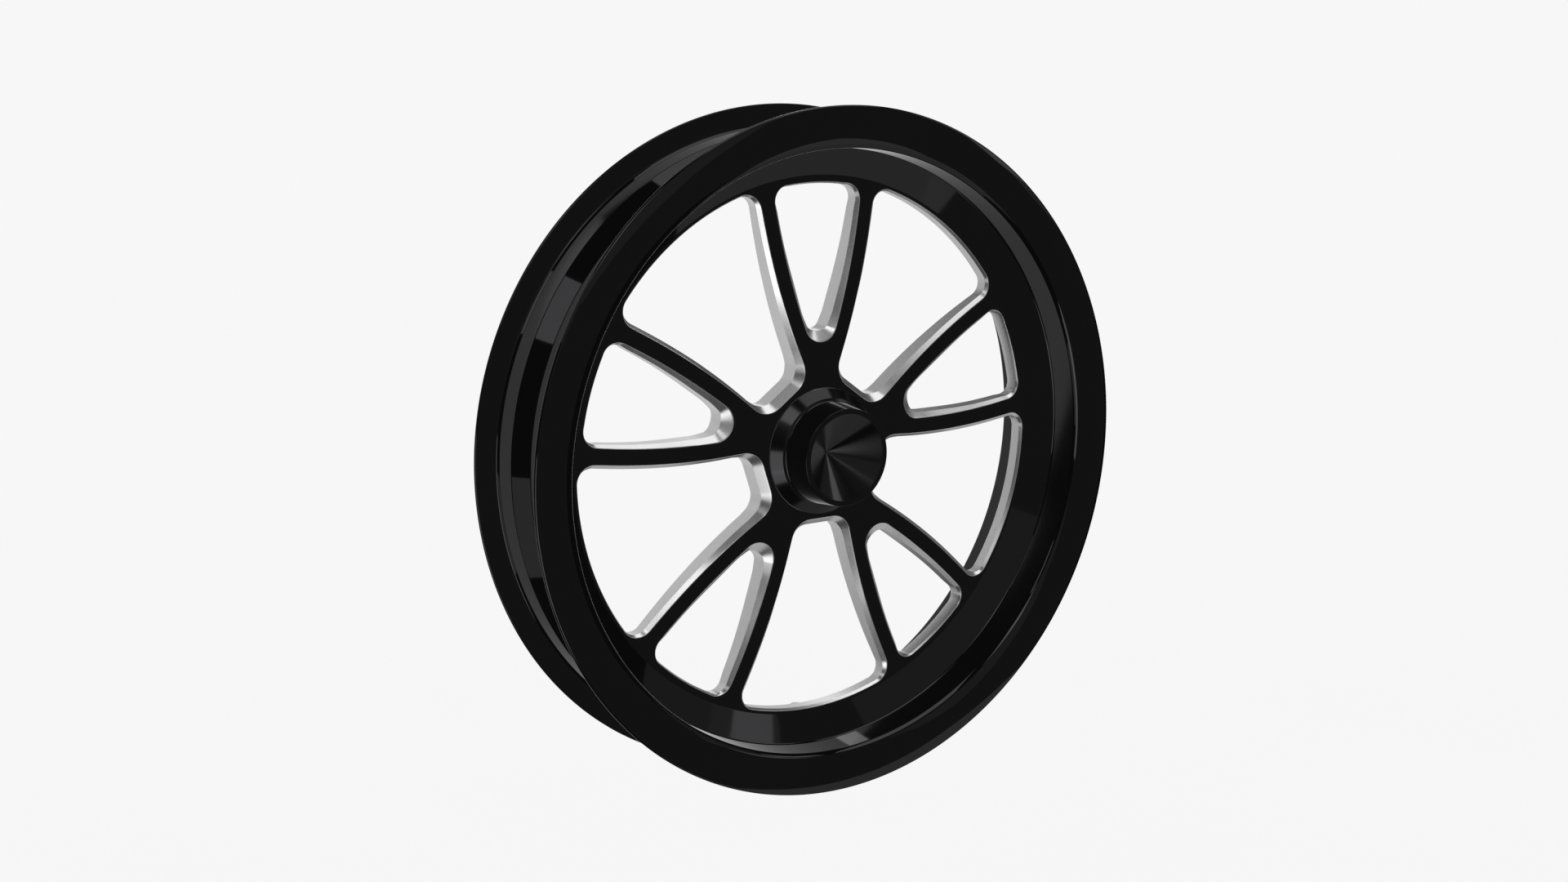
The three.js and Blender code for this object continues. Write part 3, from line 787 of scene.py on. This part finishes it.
def make_valve():
    stem = [(1.9, 193.0, 0.2), (2.6, 193.0, 0.2), (3.9, 197.0, 0.4)]
    stem += [(r, y, 0) for k in range(9) for r, y in ((3.9, 197.6 + 0.7 * k), (3.6, 197.95 + 0.7 * k))]
    stem += [(3.9, 204.2, 0), (3.9, 212.4, 0.3), (6.4, 212.4, 0.3), (6.4, 214.3, 0.7), (1.9, 214.3, 0.3)]
    valve_piece("valve_stem_turned", "valve_stem", stem, TURNED_ALLOY)
    grommet = [(4.2, 207.4, 0.2), (5.3, 207.4, 0.4), (5.3, 210.3, 0.3), (7.4, 210.3, 0.5),
               (7.4, 212.1, 0.6), (4.2, 212.1, 0.2)]
    valve_piece("valve_rubber", "valve_grommet", grommet, RUBBER)
    washer = [(4.3, 204.5, 0.15), (7.2, 204.5, 0.3), (7.2, 205.7, 0.2), (4.3, 205.7, 0.15)]
    valve_piece("valve_flat_washer", "valve_washer", washer, TURNED_ALLOY)
    core = [(0, 193.6, 0), (0.6, 193.6, 0.15), (0.6, 196.5, 0.1), (1.5, 197.2, 0.2), (1.5, 205.0, 0.3),
            (0.7, 206.5, 0.2), (0, 206.5, 0)]
    valve_piece("valve_inner_core", "valve_core", core, BRASS)
    make_valve_cap()
    make_valve_nut()


def make_valve_cap():
    corners = [(0, 190.0, 0), (3.6, 190.0, 0.5), (4.7, 191.0, 0.4), (4.8, 198.6, 0.4), (4.2, 198.6, 0.1),
               (4.2, 197.0, 0.2), (2.9, 192.3, 0.3), (0, 192.3, 0)]
    cap = spun("valve_cap_grooved", corners, steps=72)
    grip_circle = 4.95
    for i in range(CAP_GRIPS):
        angle = math.radians(360 / CAP_GRIPS * i)
        x, z = grip_circle * math.cos(angle), grip_circle * math.sin(angle)
        cut(cap, rod("grip", 0.28, (x, 191.8, z), (x, 199.5, z), sides=8))
    finish_valve_piece(cap, "valve_cap", TURNED_ALLOY)


def make_valve_nut():
    nut = rod("valve_nut_hex", 7.0, (0, 199.4, 0), (0, 204.2, 0), sides=6)
    apply_modifier(nut, "BEVEL", width=0.3 * MM, segments=2)
    cut(nut, rod("bore", 4.2, (0, 190, 0), (0, 215, 0)))
    finish_valve_piece(nut, "valve_nut", TURNED_ALLOY)


# ---------------------------------------------------------------- pieces kept from the frame

KEPT = {"spindle_nut": ZINC, "cotter_pin": ZINC, "thrust_washer": ZINC}


def finish_kept_nodes():
    for name, material in KEPT.items():
        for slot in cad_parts[name].material_slots:
            slot.material = material


# ---------------------------------------------------------------- camera, floor and light

CAMERA_PLACE = Vector((-0.7268, -1.0532, 0.2515))
CAMERA_AZIMUTH = -33.738
CAMERA_ELEVATION = 10.911
CAMERA_LENS = 43.456
ROOM_GREY = 0.06
BACKDROP_GREY = 0.93


def make_camera():
    data = bpy.data.cameras.new("camera")
    data.lens = CAMERA_LENS
    data.sensor_width = 36.0
    camera = bpy.data.objects.new("camera", data)
    camera.location = CAMERA_PLACE
    camera.rotation_euler = (math.radians(90 - CAMERA_ELEVATION), 0, math.radians(CAMERA_AZIMUTH))
    bpy.context.scene.collection.objects.link(camera)
    bpy.context.scene.camera = camera


def make_floor():
    bpy.ops.object.select_all(action="DESELECT")
    bpy.ops.mesh.primitive_circle_add(vertices=96, radius=FLOOR_RADIUS, fill_type="NGON")
    floor = bpy.context.active_object
    floor.name = "studio_floor"
    floor.data.transform(Matrix.Translation((0, 0, rim_low[2] - FLOOR_DROP)))
    floor.data.materials.append(FLOOR)
    floor.visible_glossy = False


def softbox(name, spot, size, glow, aim=(0, 0, 0), shape="RECTANGLE"):
    """A flat light that the camera doesn't see. At the same glow a disc is 4 / pi times as bright."""
    data = bpy.data.lights.new(name, "AREA")
    data.shape = shape
    data.size, data.size_y = size
    data.energy = glow * math.pi * size[0] * size[1]
    light = bpy.data.objects.new(name, data)
    light.location = spot
    light.rotation_euler = (Vector(aim) - Vector(spot)).to_track_quat("-Z", "Y").to_euler()
    light.visible_camera = False
    bpy.context.scene.collection.objects.link(light)


def background(tree, grey):
    node = tree.nodes.new("ShaderNodeBackground")
    node.inputs[0].default_value = (grey, grey, grey, 1)
    return node


def make_world():
    """White backdrop, with a much dimmer room in the reflections."""
    world = bpy.data.worlds.new("studio")
    world.use_nodes = True
    bpy.context.scene.world = world
    tree = world.node_tree
    tree.nodes.clear()
    path = tree.nodes.new("ShaderNodeLightPath")
    room = background(tree, ROOM_GREY)
    backdrop = background(tree, BACKDROP_GREY)
    mixed = tree.nodes.new("ShaderNodeMixShader")
    output = tree.nodes.new("ShaderNodeOutputWorld")
    tree.links.new(path.outputs["Is Camera Ray"], mixed.inputs[0])
    tree.links.new(room.outputs[0], mixed.inputs[1])
    tree.links.new(backdrop.outputs[0], mixed.inputs[2])
    tree.links.new(mixed.outputs[0], output.inputs[0])


def make_lights():
    softbox("overhead", (0.5, 0.1, 1.9), (2.0, 1.6), 1.0)
    softbox("left_box", (-1.76, 0.17, 1.29), (0.8, 0.7), 0.9)
    softbox("left_front", (-1.5, -0.9, -0.8), (1.0, 1.6), 1.3)
    softbox("high_left_front", (-0.9, -0.95, 1.5), (0.9, 0.7), 1.5)
    softbox("right_back", (1.8, 1.1, -0.3), (0.9, 0.9), 0.2)
    softbox("high_right", (1.55, -0.4, 1.2), (0.45, 0.5), 1.4)
    softbox("right_wall", (3.5, -0.9, 1.3), (3.0, 1.6), 0.15)
    softbox("front_right", (1.44, -0.95, 0.74), (0.25, 0.6), 0.65)
    softbox("back_right", (1.0, 1.51, 0.64), (0.3, 0.17), 1.8)
    softbox("front_top", (-0.5, -2.6, 1.3), (4.0, 2.0), 0.1)
    softbox("front_wall", (0.4, -4.0, 0.0), (14.0, 12.0), 0.07)
    softbox("back_disc", (0.0, 2.0, -0.1), (3.37, 3.37), 0.45, aim=(0, 0, -0.1), shape="DISK")
    softbox("back_left_disc", (-0.25, 2.0, 0.15), (2.8, 2.8), 0.8, aim=(-0.25, 0, 0.15), shape="DISK")
    softbox("left_ground", (-5.0, 0.0, -1.6), (6.0, 3.0), 0.4, aim=(-5.0, 0.0, 0))
    softbox("under", (0.9, -0.2, -1.6), (2.4, 2.0), 0.35)


# ---------------------------------------------------------------- assembly

bpy.context.scene.view_settings.view_transform = "Standard"
make_camera()
make_world()
make_lights()
make_floor()

make_rim()
make_centre()
make_hub()
make_screws()
make_cap()
make_o_ring()
for which in BEARING_FACES:
    make_bearing(which)
make_spacer()
make_seal()
make_valve()
finish_kept_nodes()
